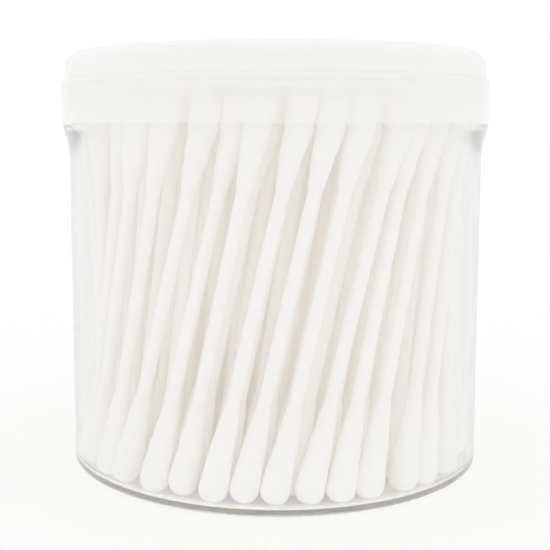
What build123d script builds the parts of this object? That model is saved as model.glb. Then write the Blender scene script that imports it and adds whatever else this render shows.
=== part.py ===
from build123d import *
import math
import os

import numpy as np

# A round clear tub of cotton swabs with a white push-on lid. All lengths are in millimetres.
# The origin is at the centre of the tub's foot, and +Z runs up through the lid.

# Lid
lid_radius = 42.5
lid_wall = 1.0
lid_top_thickness = 1.1
lid_height = 13.9
lid_crown_height = 5.7
lid_step = 0.65
lid_corner = 3.2
lid_edge_round = 0.25
lid_overlap = 6.0

# Room between the lid and the tub
lid_fit_clearance = 0.2
lid_seat_clearance = 0.1

# Tub
wall = 1.2
rim_round = 0.4
floor_thickness = 0.7
foot_recess = 0.12
foot_width = 2.6
foot_slope = 0.6
base_corner = 0.7
inner_corner = 1.3
wall_draft_degrees = 0.33
flange_inset = 0.15
flange_lip = 0.5
flare_reach = 1.2
flare_height = 4.4
flare_blend = 16.0

# Swabs
swab_length = 73.0
stick_radius = 1.25
bud_radius = 2.6
bud_length = 17.0
bud_cap = 1.6
cotton_skin = 0.15
bore_clearance = 0.05
stick_end_clearance = 0.1
swab_stand = 1.2

# How the swabs stand in the tub
foot_clearance = 0.12
swab_clearance = 0.15
wall_clearance = 0.15
ring_pitch = 5.3
foot_scatter = 1.4
top_scatter = 3.6
twist_degrees = 27.0
ring_fill_share = 0.92
neighbour_reach = 11.0

# Heights at which two swabs are kept apart, as shares of the swab's length, and the steps that settle them.
settle_shares = (0.03, 0.06, 0.1, 0.15, 0.2, 0.35, 0.5, 0.65, 0.8, 0.85, 0.9, 0.94, 0.97)
drift_steps = 600
settle_steps = 500
settle_rate = 0.12
wall_settle_rate = 0.24
scatter_seed = 3

UPRIGHT = (Align.CENTER, Align.CENTER, Align.MIN)

# Levels and radii that follow from the sizes above
floor_level = foot_recess + floor_thickness
rim_level = floor_level + foot_clearance + swab_length - swab_stand
flange_level = rim_level - lid_overlap
lid_level = flange_level + lid_seat_clearance
shoulder_level = flange_level - flange_lip - flare_height

skirt_inner_radius = lid_radius - lid_wall
neck_radius = skirt_inner_radius - lid_fit_clearance
flange_radius = lid_radius - flange_inset
shoulder_radius = flange_radius - flare_reach
wall_slope = math.tan(math.radians(wall_draft_degrees))
base_radius = shoulder_radius - shoulder_level * wall_slope


def inner_radius(level):
    """Radius of the tub's inside at a height, below its shoulder."""
    return base_radius - wall + level * wall_slope


def turned(outline):
    """Solid of revolution about Z of a closed outline, given as (radius, height, corner rounding) points."""
    points = [(radius, height) for radius, height, rounding in outline]
    roundings = [rounding for radius, height, rounding in outline]
    return revolve(Plane.XZ * make_face(FilletPolyline(*points, radius=roundings, close=True)), Axis.Z)


def make_tub():
    foot_inner_radius = base_radius - foot_width
    return turned([
        (0, foot_recess, 0),
        (foot_inner_radius - foot_slope, foot_recess, 0),
        (foot_inner_radius, 0, 0),
        (base_radius, 0, base_corner),
        (shoulder_radius, shoulder_level, flare_blend),
        (flange_radius, flange_level - flange_lip, 0),
        (flange_radius, flange_level, 0),
        (neck_radius, flange_level, 0),
        (neck_radius, rim_level, rim_round),
        (neck_radius - wall, rim_level, rim_round),
        (neck_radius - wall, flange_level, 0),
        (inner_radius(shoulder_level), shoulder_level, 0),
        (inner_radius(floor_level), floor_level, inner_corner),
        (0, floor_level, 0),
    ])


def make_lid():
    upper_radius = lid_radius - lid_step
    top = lid_level + lid_height
    band_top = top - lid_crown_height
    ceiling = top - lid_top_thickness
    return turned([
        (lid_radius, lid_level, lid_edge_round),
        (lid_radius, band_top, lid_edge_round),
        (upper_radius, band_top, lid_edge_round),
        (upper_radius, top, lid_corner),
        (0, top, 0),
        (0, ceiling, 0),
        (upper_radius - lid_wall, ceiling, lid_corner - lid_wall),
        (upper_radius - lid_wall, band_top - lid_wall, 0),
        (skirt_inner_radius, band_top - lid_wall, 0),
        (skirt_inner_radius, lid_level, lid_edge_round),
    ])


def make_bud():
    """Cotton bud with its round tip at the origin and its bore for the stick open at the top."""
    ball = Pos(0, 0, bud_radius) * Sphere(bud_radius)
    taper_length = bud_length - bud_radius
    taper = Pos(0, 0, bud_radius) * Cone(bud_radius, stick_radius + cotton_skin, taper_length, align=UPRIGHT)
    bore_length = bud_length - bud_cap
    bore = Pos(0, 0, bud_cap) * Cylinder(stick_radius + bore_clearance, bore_length, align=UPRIGHT)
    return ball + taper - bore


def make_stick():
    """Rolled paper stick, placed along a swab whose lower tip is at the origin."""
    end = bud_cap + stick_end_clearance
    return Pos(0, 0, end) * Cylinder(stick_radius, swab_length - end - end, align=UPRIGHT)


def swab_radius(distance):
    """Radius of a swab at a distance along it from its nearer tip."""
    short_of_ball = np.clip(bud_radius - distance, 0, bud_radius)
    tapered = np.clip((distance - bud_radius) / (bud_length - bud_radius), 0, 1)
    cotton = np.sqrt(bud_radius**2 - short_of_ball**2) - (bud_radius - stick_radius - cotton_skin) * tapered
    return np.where(distance > bud_length, stick_radius, cotton)


def seeded_rings():
    """Feet of the swabs on rings from the wall inwards, and the number of the ring of each."""
    pitch = (bud_radius + bud_radius + swab_clearance) / ring_fill_share
    radius = inner_radius(floor_level + bud_radius) - wall_clearance - bud_radius
    feet, rings, ring = [], [], 1
    while radius > bud_radius:
        count = math.floor(2 * math.pi * radius * math.cos(math.radians(twist_degrees / 2)) / pitch)
        for place in range(count):
            turn = 2 * math.pi * (place + ring / 2) / count
            feet.append((radius * math.cos(turn), radius * math.sin(turn)))
            rings.append(ring)
        radius -= ring_pitch
        ring += 1
    return np.array(feet), np.array(rings)


def standing(feet, tops):
    """Lower and upper tips in space of swabs whose tips lie at these places in plan."""
    lean = np.linalg.norm(tops - feet, axis=1)
    rise = np.sqrt(swab_length**2 - lean**2)
    dip = bud_radius * (1 - rise / swab_length)
    low = floor_level + foot_clearance + dip
    return np.column_stack([feet, low]), np.column_stack([tops, low + rise])


def settled(feet, tops, feet_drift, top_drift):
    """Lets the tips drift while swabs that come too close to each other or to the wall are pushed apart."""
    shares = np.array(settle_shares)
    reach = swab_radius(swab_length * np.minimum(shares, 1 - shares))
    first, second = np.triu_indices(len(feet), 1)
    near = np.linalg.norm(feet[first] - feet[second], axis=1) < neighbour_reach
    first, second = first[near], second[near]
    for step in range(drift_steps + settle_steps):
        if step < drift_steps:
            feet = feet + feet_drift / drift_steps
            tops = tops + top_drift / drift_steps
        low, high = standing(feet, tops)
        line = high - low
        along = low[:, None, :] + line[:, None, :] * shares[None, :, None]
        push = np.zeros((len(feet), len(shares), 2))

        apart = along[first] - along[second]
        heading = line[first] + line[second]
        heading /= np.linalg.norm(heading, axis=1)[:, None]
        apart -= np.einsum("pks,ps->pk", apart, heading)[:, :, None] * heading[:, None, :]
        distance = np.linalg.norm(apart, axis=2)
        short = np.clip(reach + reach + swab_clearance - distance, 0, None)
        shove = (apart / distance[:, :, None])[:, :, :2] * short[:, :, None]
        np.add.at(push, first, shove)
        np.add.at(push, second, -shove)

        out = np.linalg.norm(along[:, :, :2], axis=2)
        room = inner_radius(along[:, :, 2]) - wall_clearance - reach
        over = np.clip(out - room, 0, None)
        push = settle_rate * push - wall_settle_rate * along[:, :, :2] / out[:, :, None] * over[:, :, None]

        feet = feet + np.einsum("nks,k->ns", push, 1 - shares)
        tops = tops + np.einsum("nks,k->ns", push, shares)
    return feet, tops


def placed_swabs():
    """Lower tips, upper tips and ring numbers of the swabs, which lean together like a twisted sheaf."""
    scatter = np.random.default_rng(scatter_seed)
    feet, rings = seeded_rings()
    twist = math.radians(twist_degrees)
    turn = np.array([[math.cos(twist), math.sin(twist)], [-math.sin(twist), math.cos(twist)]])
    top_drift = scatter.normal(0, top_scatter, feet.shape)
    feet_drift = scatter.normal(0, foot_scatter, feet.shape)
    feet, tops = settled(feet, feet @ turn, feet_drift, top_drift)
    low, high = standing(feet, tops)
    return low, high, rings


def write(name, shape):
    export_step(shape, os.path.join("parts", name + ".step"))


os.makedirs("parts", exist_ok=True)
write("tub", make_tub())
write("lid", make_lid())

bud, stick = make_bud(), make_stick()
low_tips, high_tips, ring_numbers = placed_swabs()
for ring_number in range(1, ring_numbers.max() + 1):
    sticks, lower_buds, upper_buds = [], [], []
    for low_tip, high_tip in zip(low_tips[ring_numbers == ring_number], high_tips[ring_numbers == ring_number]):
        rising = Plane(origin=tuple(low_tip), z_dir=tuple(high_tip - low_tip))
        falling = Plane(origin=tuple(high_tip), z_dir=tuple(low_tip - high_tip))
        sticks.append(rising * stick)
        lower_buds.append(rising * bud)
        upper_buds.append(falling * bud)
    write(f"ring_{ring_number}_sticks", Compound(sticks))
    write(f"ring_{ring_number}_lower_buds", Compound(lower_buds))
    write(f"ring_{ring_number}_upper_buds", Compound(upper_buds))
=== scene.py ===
import math

import bmesh
import bpy
import numpy as np
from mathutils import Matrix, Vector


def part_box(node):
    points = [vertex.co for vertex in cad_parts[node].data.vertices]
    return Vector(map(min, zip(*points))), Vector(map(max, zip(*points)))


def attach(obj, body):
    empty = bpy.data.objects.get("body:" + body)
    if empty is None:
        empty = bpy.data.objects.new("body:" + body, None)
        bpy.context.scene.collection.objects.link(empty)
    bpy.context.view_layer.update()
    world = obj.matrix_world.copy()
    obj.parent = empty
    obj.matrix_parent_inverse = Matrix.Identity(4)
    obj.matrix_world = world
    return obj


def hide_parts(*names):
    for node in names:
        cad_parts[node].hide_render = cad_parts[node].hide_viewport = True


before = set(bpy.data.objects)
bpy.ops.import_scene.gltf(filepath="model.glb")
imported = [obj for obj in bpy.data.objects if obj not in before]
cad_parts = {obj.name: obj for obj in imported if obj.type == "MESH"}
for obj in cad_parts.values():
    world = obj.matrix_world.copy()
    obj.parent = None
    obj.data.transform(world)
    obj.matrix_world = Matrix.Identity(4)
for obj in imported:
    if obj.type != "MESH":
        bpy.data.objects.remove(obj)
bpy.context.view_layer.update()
scene = bpy.context.scene

# A clear tub of cotton swabs. The tub and its lid are the frame's own solids with moulded plastic on them.
# The paper sticks and the cotton buds are made anew round the axis of each swab. Lengths are in metres, and
# only the camera's lens and sensor are in millimetres.

MM = 0.001
WHITE = (1, 1, 1, 1)

# Camera
camera_distance = 211.6 * MM
camera_height = 66.8 * MM
camera_pitch_degrees = 5.0
camera_yaw_degrees = 1.5
camera_shift_across = 0.0505
camera_shift_up = -0.1107
camera_near_limit = 10 * MM
lens_millimetres = 67.8
sensor_millimetres = 36.0

# Light and floor. The floor is seen as white, and is a little darker where it only lights the object.
world_strength = 1.0
floor_size = 6.0
floor_colour = 0.95
floor_seen_colour = 1.0

# Most bounces of each kind of ray. Light reaches the gaps between the swabs after many of them.
light_bounces = {
    "max_bounces": 64,
    "diffuse_bounces": 40,
    "glossy_bounces": 32,
    "transmission_bounces": 32,
    "transparent_max_bounces": 24,
}

# Shape of the cotton buds
bud_neck = 2.5 * MM
neck_skin = 0.08 * MM
bore_gap = 0.03 * MM
tip_bluntness = 2.25
belly_swell = 0.07 * MM
winding_height = 0.02 * MM
winding_pitch = 1.9 * MM

# Lumps in the cotton are waves round a bud. A lead is the radians that they turn for each millimetre
# along it.
lump_height = 0.045 * MM
lump_limit_share = 2
lump_waves = (1, 2, 3)
lump_leads = (0.45, 0.9, 1.6)

# Shape of the rolled paper sticks
paper_thickness = 0.05 * MM
seam_turn_degrees = 35.0
seam_gap_share = 0.002

# Meshes. The two powers space the rings of a bud: wider at its neck, and close together at its tip.
outer_bud_rings = 36
outer_bud_around = 36
inner_bud_rings = 24
inner_bud_around = 26
bore_rings = 2
neck_spacing_power = 0.9
tip_spacing_power = 1.15
stick_spans = 6
stick_around = 24
crease_degrees = 50.0
weld_distance = 0.001 * MM
end_tolerance = 0.01 * MM
seed = 7

# Grain of the swabs: the place on a swab in millimetres, moved on by these for each radian of its spin
grain_name = "grain"
grain_offsets = (31.0, 17.0, 43.0)

# Noise. Its scale is per millimetre of grain on the swabs, and per metre on the plastic. Colours go from
# one to the other over its middle span.
noise_roughness = 0.6
noise_span = (0.3, 0.7)

# Cotton
wound_noise = dict(scale=1.6, detail=4, stretch=(0.6, 0.6, 5.0), tilt_degrees=(18, 0, 0))
crossed_noise = dict(scale=1.9, detail=4, stretch=(0.6, 0.6, 5.0), tilt_degrees=(-24, 12, 0))
fluff_noise = dict(scale=3.0, detail=6)
crossed_share = 0.8
fluff_share = 0.7
cotton_colours = ((0.975, 0.962, 0.939), (0.988, 0.978, 0.961))
cotton_bump = dict(strength=0.2, distance=0.06 * MM)
cotton_roughness = 0.95
cotton_specular = 0.15
cotton_sheen = 0.25
cotton_sheen_roughness = 0.6

# Rolled paper
fibre_noise = dict(scale=6.0, detail=5, stretch=(1, 1, 0.12))
paper_noise = dict(scale=0.8, detail=3, stretch=(1, 1, 0.4))
paper_colours = ((0.983, 0.971, 0.952), (0.996, 0.987, 0.971))
paper_bump = dict(strength=0.2, distance=0.02 * MM)
paper_roughness = 0.75
paper_specular = 0.3

# Clear plastic of the tub. Its tint goes from where a wall faces the eye to where it is seen edge on.
plastic_ior = 1.5
clear_wave_noise = dict(scale=60.0, detail=2, stretch=(1, 1, 0.35))
clear_wave_bump = dict(strength=0.15, distance=0.2 * MM)
clear_haze_noise = dict(scale=140.0, detail=4)
clear_roughness = (0.0, 0.06)
clear_tints = ((0.972, 0.974, 0.974), (0.87, 0.875, 0.88))
clear_tint_span = (0.15, 0.8)

# White haze in the clear plastic: its share of the wall rises over the foot and falls again at the neck.
# The heights are above the tub's foot, and above the mouth of the lid.
haze_colour = (0.95, 0.95, 0.95, 1)
haze_glow_share = 0.5
foot_haze_heights = (1.5 * MM, 12 * MM)
foot_haze_shares = (0.1, 0.22)
neck_haze_heights = (-0.54 * MM, 0.46 * MM)
neck_haze_shares = (1.0, 0.2)

# Milky plastic of the lid. It is less see-through where it is seen edge on, and in the crown over its band.
# The heights are above the top of the lid, so they are negative.
milky_noise = dict(scale=45.0, detail=3)
milky_grain_noise = dict(scale=900.0, detail=3)
milky_colours = ((0.988, 0.988, 0.983), (0.996, 0.996, 0.992))
milky_bump = dict(strength=0.08, distance=0.02 * MM)
milky_roughness = 0.38
milky_glow_share = 0.2
milky_open_shares = (0.72, 0.3)
crown_heights = (-6.74 * MM, -4.74 * MM)
crown_open_shares = (1.0, 0.5)


def add_object(name, data):
    """A new object in the scene."""
    added = bpy.data.objects.new(name, data)
    scene.collection.objects.link(added)
    return added


def solids_of(node):
    """The corners of each separate solid in a CAD node, one array for each."""
    mesh = bmesh.new()
    mesh.from_mesh(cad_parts[node].data)
    bmesh.ops.remove_doubles(mesh, verts=mesh.verts, dist=weld_distance)
    mesh.verts.index_update()
    seen = set()
    solids = []
    for start in mesh.verts:
        if start.index in seen:
            continue
        seen.add(start.index)
        waiting = [start]
        found = []
        while waiting:
            corner = waiting.pop()
            found.append(tuple(corner.co))
            for edge in corner.link_edges:
                other = edge.other_vert(corner)
                if other.index not in seen:
                    seen.add(other.index)
                    waiting.append(other)
        solids.append(np.array(found))
    mesh.free()
    return solids


def stick_axis(corners):
    """Lower and upper end of a stick's axis."""
    centre = corners.mean(axis=0)
    heading = np.linalg.svd(corners - centre, full_matrices=False)[2][0]
    heading = heading * np.sign(heading[2])
    along = (corners - centre) @ heading
    return centre + heading * along.min(), centre + heading * along.max()


def across(points, start, heading):
    """Distances of points along an axis and away from it."""
    along = (points - start) @ heading
    away = np.linalg.norm(points - start - along[:, None] * heading, axis=1)
    return along, away


def square_to(headings):
    """Two unit vectors square to each heading and to each other."""
    side = np.cross(headings, np.array([1.0, 0.0, 0.0]))
    side /= np.linalg.norm(side, axis=1)[:, None]
    return side, np.cross(headings, side)


def turned_corners(distances, radii, angles):
    """Corners of turned shapes that stand upright on the origin, the first and last of each on its axis."""
    count, rings, around = radii.shape
    levels = np.broadcast_to(distances[:, None], radii.shape)
    walls = np.stack([radii * np.cos(angles), radii * np.sin(angles), levels], axis=3)
    ends = np.zeros((count, 2, 3))
    ends[:, :, 2] = distances[[0, -1]]
    return np.concatenate([ends[:, :1], walls.reshape(count, rings * around, 3), ends[:, 1:]], axis=1)


def turned_faces(count, rings, around):
    """Faces of a number of turned shapes: bands between the rings, and a fan round the axis at each end."""
    last = rings * around + 1
    here = np.arange(around)
    after = (here + 1) % around
    ring = 1 + np.arange(rings - 1)[:, None] * around
    bands = np.stack([ring + here, ring + after, ring + around + after, ring + around + here], axis=2)
    fans = np.concatenate([
        np.stack([np.zeros(around, int), 1 + after, 1 + here], axis=1),
        np.stack([np.full(around, last), last - around + here, last - around + after], axis=1),
    ])
    shift = np.arange(count)[:, None, None] * (last + 1)
    bands = bands.reshape(-1, 4) + shift
    fans = fans + shift
    return bands.reshape(-1, 4).tolist() + fans.reshape(-1, 3).tolist()


def turned_field(name, starts, headings, spins, distances, radii, angles):
    """One mesh of many closed turned shapes, each on its own start and along its own heading. distances has
    one value for each ring of corners, and radii and angles have one for each shape, ring and corner."""
    side, other = square_to(headings)
    spins = spins[:, None, None]
    upright = turned_corners(distances, radii, angles + spins)
    corners = starts[:, None] + upright[..., 2:] * headings[:, None]
    corners = corners + upright[..., :1] * side[:, None] + upright[..., 1:2] * other[:, None]

    mesh = bpy.data.meshes.new(name)
    mesh.from_pydata(corners.reshape(-1, 3).tolist(), [], turned_faces(*radii.shape))
    mesh.update()
    mesh.shade_smooth()
    mesh.set_sharp_from_angle(angle=math.radians(crease_degrees))

    grain = turned_corners(distances, radii, angles) / MM + spins * np.array(grain_offsets)
    attribute = mesh.attributes.new(grain_name, "FLOAT_VECTOR", "POINT")
    attribute.data.foreach_set("vector", grain.astype(np.float32).ravel())
    return add_object(name, mesh)


def bud_outline(distance):
    """Radius of the cotton at distances from the bud's tip, up to its neck."""
    cap = np.clip(1 - distance / bud_radius, 0, 1)
    blunt = (1 - cap**tip_bluntness) ** (1 / tip_bluntness)
    share = np.clip((distance - bud_radius) / (bud_length - bud_radius), 0, 1)
    taper = bud_radius + (neck_radius - bud_radius) * share + belly_swell * np.sin(math.pi * share)
    to_neck = np.clip((distance - bud_length + bud_neck) / bud_neck, 0, 1)
    ease = to_neck * to_neck * (3 - 2 * to_neck)
    return blunt * taper + (stick_radius + neck_skin - neck_radius) * ease


def make_buds(name, tips, headings, rings, around, draw):
    """The cotton buds at one end of a ring of swabs, each with its own lumps and winding."""
    count = len(tips)
    share = np.linspace(0, 1, rings + 1)[1:]
    outer = bud_length * (1 - np.cos(share * math.pi / 2) ** neck_spacing_power) ** tip_spacing_power
    outer[-1] = bud_length
    distances = np.concatenate([outer, np.linspace(bud_length, tip_cover, bore_rings)])

    along = outer[:, None]
    turn = np.arange(around) * 2 * math.pi / around
    lumps = np.zeros((count, rings, around))
    for waves in lump_waves:
        for lead in lump_leads:
            phase = draw.uniform(0, 2 * math.pi, (count, 1, 1))
            height = draw.normal(0, 1, (count, 1, 1)) * lump_height / waves
            lumps += height * np.sin(waves * turn + lead * along / MM + phase)
    phase = draw.uniform(0, 2 * math.pi, (count, 1, 1))
    lumps += winding_height * np.sin(turn + 2 * math.pi * along / winding_pitch + phase)

    fade = np.clip(along / bud_radius, 0, 1) * np.clip((bud_length - along) / bud_neck, 0, 1)
    skin = bud_outline(along) + np.minimum(lumps, lump_limit_share * lump_height) * fade
    bore = np.full((count, bore_rings, around), stick_radius + bore_gap)
    radii = np.concatenate([skin, bore], axis=1)
    spins = draw.uniform(0, 2 * math.pi, count)
    return turned_field(name, tips, headings, spins, distances, radii, np.broadcast_to(turn, radii.shape))


def make_sticks(name, lows, headings, length, draw):
    """The rolled paper sticks of a ring of swabs, each with the step where its paper ends."""
    distances = np.linspace(0, length, stick_spans + 1)
    step = np.arange(stick_around) / (stick_around - 1)
    twist = math.radians(seam_turn_degrees) * distances / distances[-1]
    turn = 2 * math.pi * step * (1 - seam_gap_share) + twist[:, None]
    angles = np.broadcast_to(turn, (len(lows), *turn.shape))
    radii = np.broadcast_to(stick_radius - paper_thickness * (1 - step), angles.shape)
    spins = draw.uniform(0, 2 * math.pi, len(lows))
    return turned_field(name, lows, headings, spins, distances, radii, angles)


def fill(tree, socket, value):
    """Links an input to another node's output, or sets it to a plain value."""
    if isinstance(value, bpy.types.NodeSocket):
        tree.links.new(value, socket)
    else:
        socket.default_value = value


def add_node(tree, kind, **inputs):
    """A shader node with some of its inputs filled, named with underscores for spaces."""
    node = tree.nodes.new(kind)
    for name, value in inputs.items():
        fill(tree, node.inputs[name.replace("_", " ")], value)
    return node


def math_on(tree, operation, *values):
    """Result of a sum on numbers and outputs of nodes."""
    node = tree.nodes.new("ShaderNodeMath")
    node.operation = operation
    for socket, value in zip(node.inputs, values):
        fill(tree, socket, value)
    return node.outputs["Value"]


def mix_on(tree, share, first, second):
    """One shader with a share of a second one in it."""
    node = tree.nodes.new("ShaderNodeMixShader")
    for socket, value in zip(node.inputs, (share, first, second)):
        fill(tree, socket, value)
    return node.outputs["Shader"]


def noise_on(tree, place, scale, detail, stretch=(1, 1, 1), tilt_degrees=(0, 0, 0)):
    """Noise, stretched and tilted, at a place."""
    tilt = tuple(math.radians(angle) for angle in tilt_degrees)
    mapping = add_node(tree, "ShaderNodeMapping", Vector=place, Scale=stretch, Rotation=tilt)
    noise = add_node(tree, "ShaderNodeTexNoise", Vector=mapping.outputs["Vector"], Scale=scale,
                     Detail=detail, Roughness=noise_roughness)
    return noise.outputs["Fac"]


def ramp_on(tree, value, colours, span):
    """Colour that goes from the first to the second as a value goes over a span."""
    ramp = add_node(tree, "ShaderNodeValToRGB", Fac=value)
    for stop, colour, position in zip(ramp.color_ramp.elements, colours, span):
        stop.position = position
        stop.color = (*colour, 1)
    return ramp.outputs["Color"]


def range_on(tree, value, results, span=(0, 1)):
    """Value that goes from the first result to the second as another value goes over a span."""
    node = add_node(tree, "ShaderNodeMapRange", Value=value, From_Min=span[0], From_Max=span[1],
                    To_Min=results[0], To_Max=results[1])
    return node.outputs["Result"]


def height_on(tree, place, results, level, heights):
    """Value that goes from the first result to the second between two heights above a level."""
    separate = add_node(tree, "ShaderNodeSeparateXYZ", Vector=place)
    return range_on(tree, separate.outputs["Z"], results, [level + height for height in heights])


def bump_on(tree, relief, strength, distance):
    """Normal of a surface with a relief on it."""
    bump = add_node(tree, "ShaderNodeBump", Height=relief, Strength=strength, Distance=distance)
    return bump.outputs["Normal"]


def slant_on(tree):
    """Slant of a surface to the ray that meets it, from 0 where they are square to 1 where it is edge on."""
    return tree.nodes.new("ShaderNodeLayerWeight").outputs["Facing"]


def any_ray(tree, *kinds):
    """One for a ray of any of these kinds, and zero for the rest."""
    rays = tree.nodes.new("ShaderNodeLightPath").outputs
    found = rays[kinds[0]]
    for kind in kinds[1:]:
        found = math_on(tree, "MAXIMUM", found, rays[kind])
    return found


def swab_grain(tree):
    """The grain at each point of a swab, as its mesh keeps it."""
    grain = tree.nodes.new("ShaderNodeAttribute")
    grain.attribute_name = grain_name
    return grain.outputs["Vector"]


def new_material(name):
    """A material with no nodes."""
    material = bpy.data.materials.new(name)
    material.use_nodes = True
    material.node_tree.nodes.clear()
    return material


def finished(material, surface):
    """The material with a shader as its surface."""
    add_node(material.node_tree, "ShaderNodeOutputMaterial", Surface=surface)
    return material


def cotton_material():
    """Wound cotton: crossing fibres and soft fluff, matt, with a faint sheen."""
    material = new_material("cotton")
    tree = material.node_tree
    grain = swab_grain(tree)
    wound = noise_on(tree, grain, **wound_noise)
    crossed = noise_on(tree, grain, **crossed_noise)
    fluff = noise_on(tree, grain, **fluff_noise)
    fibres = math_on(tree, "MULTIPLY_ADD", crossed, crossed_share, wound)
    fibres = math_on(tree, "MULTIPLY_ADD", fluff, fluff_share, fibres)
    skin = add_node(
        tree,
        "ShaderNodeBsdfPrincipled",
        Base_Color=ramp_on(tree, fluff, cotton_colours, noise_span),
        Normal=bump_on(tree, fibres, **cotton_bump),
        Roughness=cotton_roughness,
        Specular_IOR_Level=cotton_specular,
        Sheen_Weight=cotton_sheen,
        Sheen_Roughness=cotton_sheen_roughness,
    )
    return finished(material, skin.outputs["BSDF"])


def paper_material():
    """Rolled white paper with its fibres along the stick."""
    material = new_material("rolled_paper")
    tree = material.node_tree
    grain = swab_grain(tree)
    fibres = noise_on(tree, grain, **fibre_noise)
    cloud = noise_on(tree, grain, **paper_noise)
    skin = add_node(
        tree,
        "ShaderNodeBsdfPrincipled",
        Base_Color=ramp_on(tree, cloud, paper_colours, noise_span),
        Normal=bump_on(tree, fibres, **paper_bump),
        Roughness=paper_roughness,
        Specular_IOR_Level=paper_specular,
    )
    return finished(material, skin.outputs["BSDF"])


def clear_material():
    """Clear moulded plastic with a faint white haze. It throws no shadow on the swabs: light on its way to
    them, and from one of them to the next, passes straight through it."""
    material = new_material("clear_plastic")
    tree = material.node_tree
    place = tree.nodes.new("ShaderNodeTexCoord").outputs["Object"]
    waves = noise_on(tree, place, **clear_wave_noise)
    clear = add_node(
        tree,
        "ShaderNodeBsdfPrincipled",
        Base_Color=ramp_on(tree, slant_on(tree), clear_tints, clear_tint_span),
        Normal=bump_on(tree, waves, **clear_wave_bump),
        Roughness=range_on(tree, noise_on(tree, place, **clear_haze_noise), clear_roughness),
        IOR=plastic_ior,
        Transmission_Weight=1,
    )
    mist = add_node(tree, "ShaderNodeBsdfDiffuse", Color=haze_colour)
    glow = add_node(tree, "ShaderNodeBsdfTranslucent", Color=haze_colour)
    haze = mix_on(tree, haze_glow_share, mist.outputs["BSDF"], glow.outputs["BSDF"])
    wall_share = height_on(tree, place, foot_haze_shares, 0, foot_haze_heights)
    neck_part = height_on(tree, place, neck_haze_shares, lid_mouth_level, neck_haze_heights)
    haze_share = math_on(tree, "MULTIPLY", wall_share, neck_part)
    seen = mix_on(tree, haze_share, clear.outputs["BSDF"], haze)
    through = add_node(tree, "ShaderNodeBsdfTransparent", Color=WHITE)
    unseen = any_ray(tree, "Is Shadow Ray", "Is Diffuse Ray")
    return finished(material, mix_on(tree, unseen, seen, through.outputs["BSDF"]))


def milky_material():
    """Milky moulded plastic that glows with light from behind and lets what touches it show faintly."""
    material = new_material("milky_plastic")
    tree = material.node_tree
    place = tree.nodes.new("ShaderNodeTexCoord").outputs["Object"]
    colour = ramp_on(tree, noise_on(tree, place, **milky_noise), milky_colours, noise_span)
    grain = noise_on(tree, place, **milky_grain_noise)
    skin = add_node(
        tree,
        "ShaderNodeBsdfPrincipled",
        Base_Color=colour,
        Normal=bump_on(tree, grain, **milky_bump),
        Roughness=milky_roughness,
        IOR=plastic_ior,
    )
    glow = add_node(tree, "ShaderNodeBsdfTranslucent", Color=colour)
    body = mix_on(tree, milky_glow_share, skin.outputs["BSDF"], glow.outputs["BSDF"])
    through = add_node(tree, "ShaderNodeBsdfTransparent", Color=WHITE)
    band_share = range_on(tree, slant_on(tree), milky_open_shares)
    crown_part = height_on(tree, place, crown_open_shares, lid_top_level, crown_heights)
    open_share = math_on(tree, "MULTIPLY", band_share, crown_part)
    return finished(material, mix_on(tree, open_share, body, through.outputs["BSDF"]))


def floor_material():
    """Plain floor, as white as the background to the camera and in the plastic."""
    material = new_material("floor")
    tree = material.node_tree
    seen = any_ray(tree, "Is Camera Ray", "Is Glossy Ray", "Is Transmission Ray")
    shade = range_on(tree, seen, (floor_colour, floor_seen_colour))
    plain = add_node(tree, "ShaderNodeBsdfDiffuse", Color=shade)
    return finished(material, plain.outputs["BSDF"])


def dress(piece, material):
    """Puts one material on a piece."""
    piece.data.materials.clear()
    piece.data.materials.append(material)


# Sizes of a stick, a bud and the lid, as the frame has them
ring_names = sorted(name.removesuffix("_sticks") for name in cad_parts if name.endswith("_sticks"))
stick_solids = {ring: solids_of(ring + "_sticks") for ring in ring_names}
sample_stick = stick_solids[ring_names[0]][0]
sample_low, sample_high = stick_axis(sample_stick)
sample_heading = (sample_high - sample_low) / np.linalg.norm(sample_high - sample_low)
stick_radius = across(sample_stick, sample_low, sample_heading)[1].max()
bud_solids = solids_of(ring_names[0] + "_lower_buds")
sample_bud = min(bud_solids, key=lambda corners: np.linalg.norm(corners.mean(axis=0) - sample_low))
bud_along, bud_away = across(sample_bud, sample_low, sample_heading)
tip_cover = -bud_along.min()
bud_length = bud_along.max() + tip_cover
bud_radius = bud_away.max()
neck_radius = bud_away[bud_along > bud_along.max() - end_tolerance].max()
lid_low, lid_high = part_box("lid")
lid_mouth_level = lid_low[2]
lid_top_level = lid_high[2]

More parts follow.
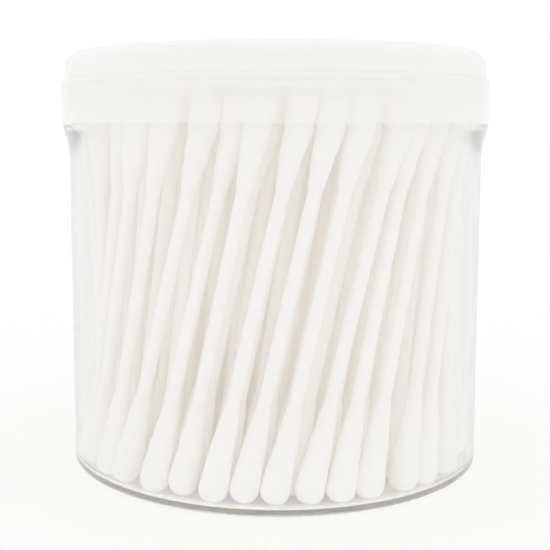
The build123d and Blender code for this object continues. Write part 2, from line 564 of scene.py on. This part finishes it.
# Swabs, with finer buds in the ring at the wall
draw = np.random.default_rng(seed)
cotton = cotton_material()
paper = paper_material()
for ring in ring_names:
    lows, highs = np.array([stick_axis(corners) for corners in stick_solids[ring]]).transpose(1, 0, 2)
    lengths = np.linalg.norm(highs - lows, axis=1)
    headings = (highs - lows) / lengths[:, None]
    close = ring == ring_names[0]
    rings = outer_bud_rings if close else inner_bud_rings
    around = outer_bud_around if close else inner_bud_around

    sticks = make_sticks(ring + "_rolled_sticks", lows, headings, lengths.mean(), draw)
    lower = make_buds(ring + "_lower_cotton", lows - tip_cover * headings, headings, rings, around, draw)
    upper = make_buds(ring + "_upper_cotton", highs + tip_cover * headings, -headings, rings, around, draw)
    for piece, node, material, finish in (
        (sticks, ring + "_sticks", paper, "stick"),
        (lower, ring + "_lower_buds", cotton, "cotton"),
        (upper, ring + "_upper_buds", cotton, "cotton"),
    ):
        dress(piece, material)
        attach(piece, "tub")
        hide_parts(node)

# Tub and lid
dress(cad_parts["tub"], clear_material())
dress(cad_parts["lid"], milky_material())

# Floor
half = floor_size / 2
floor_corners = [(-half, -half, 0), (half, -half, 0), (half, half, 0), (-half, half, 0)]
floor_mesh = bpy.data.meshes.new("floor")
floor_mesh.from_pydata(floor_corners, [], [(0, 1, 2, 3)])
floor = add_object("floor", floor_mesh)
dress(floor, floor_material())

# World
world = bpy.data.worlds.new("studio")
world.use_nodes = True
background = world.node_tree.nodes["Background"]
background.inputs["Color"].default_value = WHITE
background.inputs["Strength"].default_value = world_strength
scene.world = world
scene.view_settings.view_transform = "Standard"
for kind, count in light_bounces.items():
    setattr(scene.cycles, kind, count)

# Camera
camera = add_object("camera", bpy.data.cameras.new("camera"))
camera.data.lens = lens_millimetres
camera.data.sensor_width = sensor_millimetres
camera.data.shift_x = camera_shift_across
camera.data.shift_y = camera_shift_up
camera.data.clip_start = camera_near_limit
camera.location = (0, -camera_distance, camera_height)
camera.rotation_euler = (math.radians(90 - camera_pitch_degrees), 0, math.radians(camera_yaw_degrees))
scene.camera = camera
